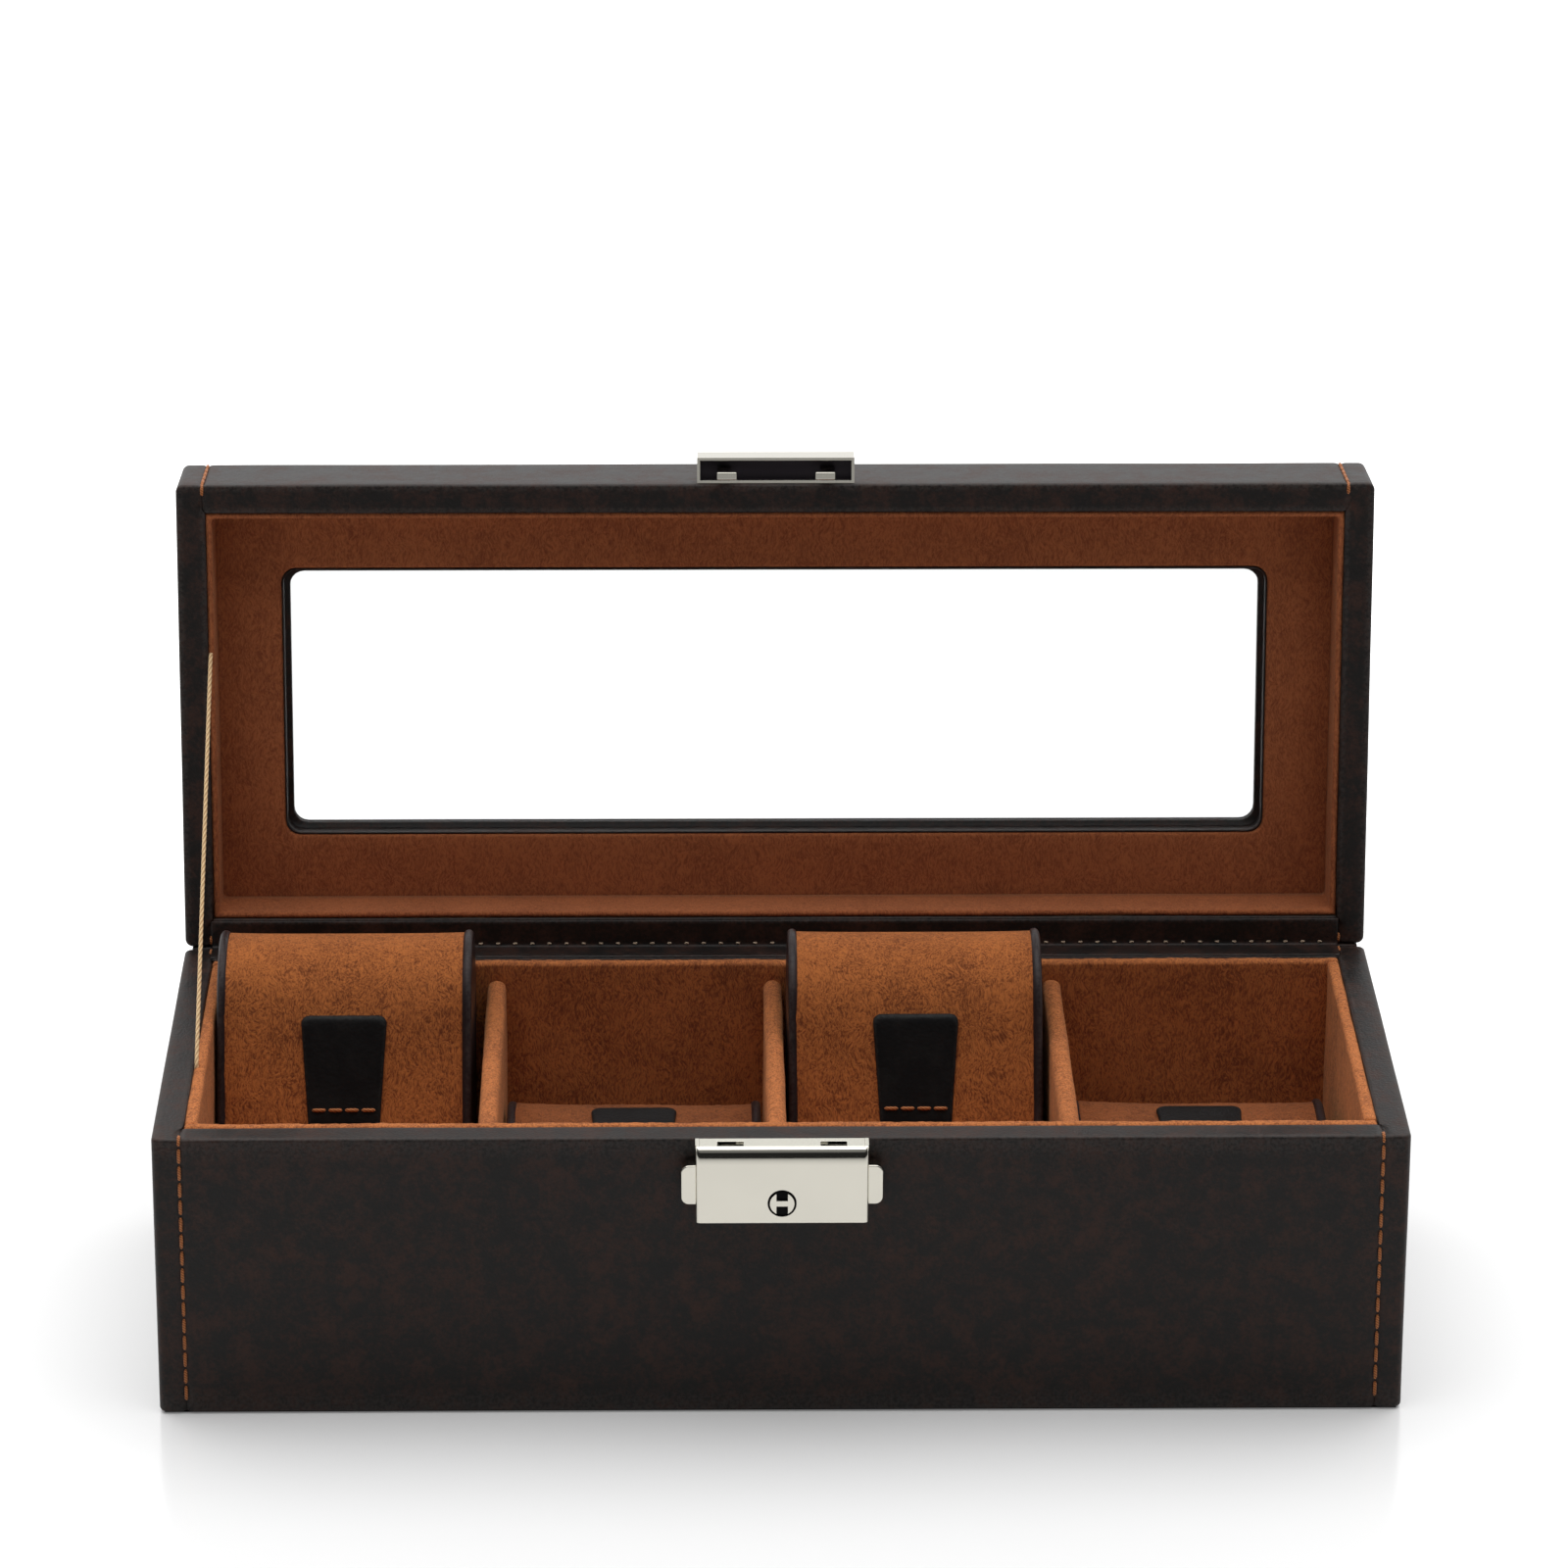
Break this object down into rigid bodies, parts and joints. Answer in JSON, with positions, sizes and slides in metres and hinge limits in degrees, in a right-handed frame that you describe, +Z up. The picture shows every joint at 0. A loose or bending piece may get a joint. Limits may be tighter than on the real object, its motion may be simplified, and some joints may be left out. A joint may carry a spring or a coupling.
{
  "type": "watch box",
  "caption": "Leather-covered watch box with a glazed lid held open by a cord, suede-lined bays with lift-out pillows, and a push-button lock with a key cylinder.",
  "frame": {"origin": "centre of the base's bottom face, on the surface that it stands on", "axes": "+X along the front to the right, -Y out of the front, +Z up"},
  "size_m": [0.32, 0.1761, 0.2115],
  "materials": {
    "leather": "semi-gloss dark espresso hide, fine grain",
    "pillow_end_leather": "satin dark hide",
    "tab_leather": "near-black smooth hide",
    "pillow_suede": "cognac suede nap",
    "base_suede": "cognac suede nap",
    "lid_suede": "cognac suede nap, in shade",
    "board": "fibreboard",
    "felt": "black felt",
    "polished_nickel": "polished nickel",
    "plain_steel": "zinc-plated",
    "window_glass": "clear",
    "gold_cord": "twisted gold cord"
  },
  "bodies": {
    "base": {"base_front_board": "board", "base_back_board": "board", "base_left_board": "board", "base_right_board": "board", "base_floor_board": "board", "base_front_leather": "leather", "base_back_leather": "leather", "base_left_leather": "leather", "base_right_leather": "leather", "bottom_felt": "felt", "base_front_lining": "base_suede", "base_back_lining": "base_suede", "base_left_lining": "base_suede", "base_right_lining": "base_suede", "base_floor_lining": "base_suede", "divider_1": "base_suede", "divider_2": "base_suede", "divider_3": "base_suede", "hinge_strip": "leather", "hinge_spine": "leather", "lid_stay_cord": "gold_cord", "lock_case": "polished_nickel", "lock_slot_plate": "polished_nickel", "lock_back_plate": "plain_steel", "lock_screws": "plain_steel", "left_lock_spring": "plain_steel", "right_lock_spring": "plain_steel"},
    "lid": {"lid_top_board": "board", "lid_front_board": "board", "lid_back_board": "board", "lid_left_board": "board", "lid_right_board": "board", "lid_edge_leather": "leather", "lid_top_leather": "leather", "lid_lining_panel": "lid_suede", "lid_wall_lining": "lid_suede", "window_trim": "leather", "window_glass": "window_glass", "strike_plate": "polished_nickel", "strike_hooks": "polished_nickel", "strike_screws": "plain_steel"},
    "left_button": {"left_button": "polished_nickel", "left_catch": "plain_steel"},
    "right_button": {"right_button": "polished_nickel", "right_catch": "plain_steel"},
    "key": {"key_cylinder": "polished_nickel", "lock_cam": "plain_steel"},
    "pillow_1": {"pillow_1_roll": "pillow_suede", "pillow_1_ends": "pillow_end_leather", "pillow_1_tab": "tab_leather"},
    "pillow_2": {"pillow_2_roll": "pillow_suede", "pillow_2_ends": "pillow_end_leather", "pillow_2_tab": "tab_leather"},
    "pillow_3": {"pillow_3_roll": "pillow_suede", "pillow_3_ends": "pillow_end_leather", "pillow_3_tab": "tab_leather"},
    "pillow_4": {"pillow_4_roll": "pillow_suede", "pillow_4_ends": "pillow_end_leather", "pillow_4_tab": "tab_leather"}
  },
  "joints": [
    {"name": "lid_hinge", "type": "hinge", "parent": "base", "child": "lid", "pos_m": [0, 0.064, 0.0774], "axis": [1, 0, 0], "range_deg": [0, 96], "deforming": ["hinge_strip", "hinge_spine", "lid_stay_cord"]},
    {"name": "left_button_press", "type": "slide", "parent": "base", "child": "left_button", "axis": [1, 0, 0], "range_m": [0, 0.0025], "stiffness_N_per_m": 300, "springref_m": -0.002, "deforming": ["left_lock_spring"]},
    {"name": "right_button_press", "type": "slide", "parent": "base", "child": "right_button", "axis": [-1, 0, 0], "range_m": [0, 0.0025], "stiffness_N_per_m": 300, "springref_m": -0.002, "deforming": ["right_lock_spring"]},
    {"name": "key_turn", "type": "hinge", "parent": "base", "child": "key", "pos_m": [0, -0.0712, 0.0621], "axis": [0, 1, 0], "range_deg": [-90, 0]},
    {"name": "pillow_1_lift", "type": "slide", "parent": "base", "child": "pillow_1", "axis": [0, 0, -1], "range_m": [-0.1, 0]},
    {"name": "pillow_2_lift", "type": "slide", "parent": "base", "child": "pillow_2", "axis": [0, 0, -1], "range_m": [-0.1, 0]},
    {"name": "pillow_3_lift", "type": "slide", "parent": "base", "child": "pillow_3", "axis": [0, 0, -1], "range_m": [-0.1, 0]},
    {"name": "pillow_4_lift", "type": "slide", "parent": "base", "child": "pillow_4", "axis": [0, 0, -1], "range_m": [-0.1, 0]}
  ]
}
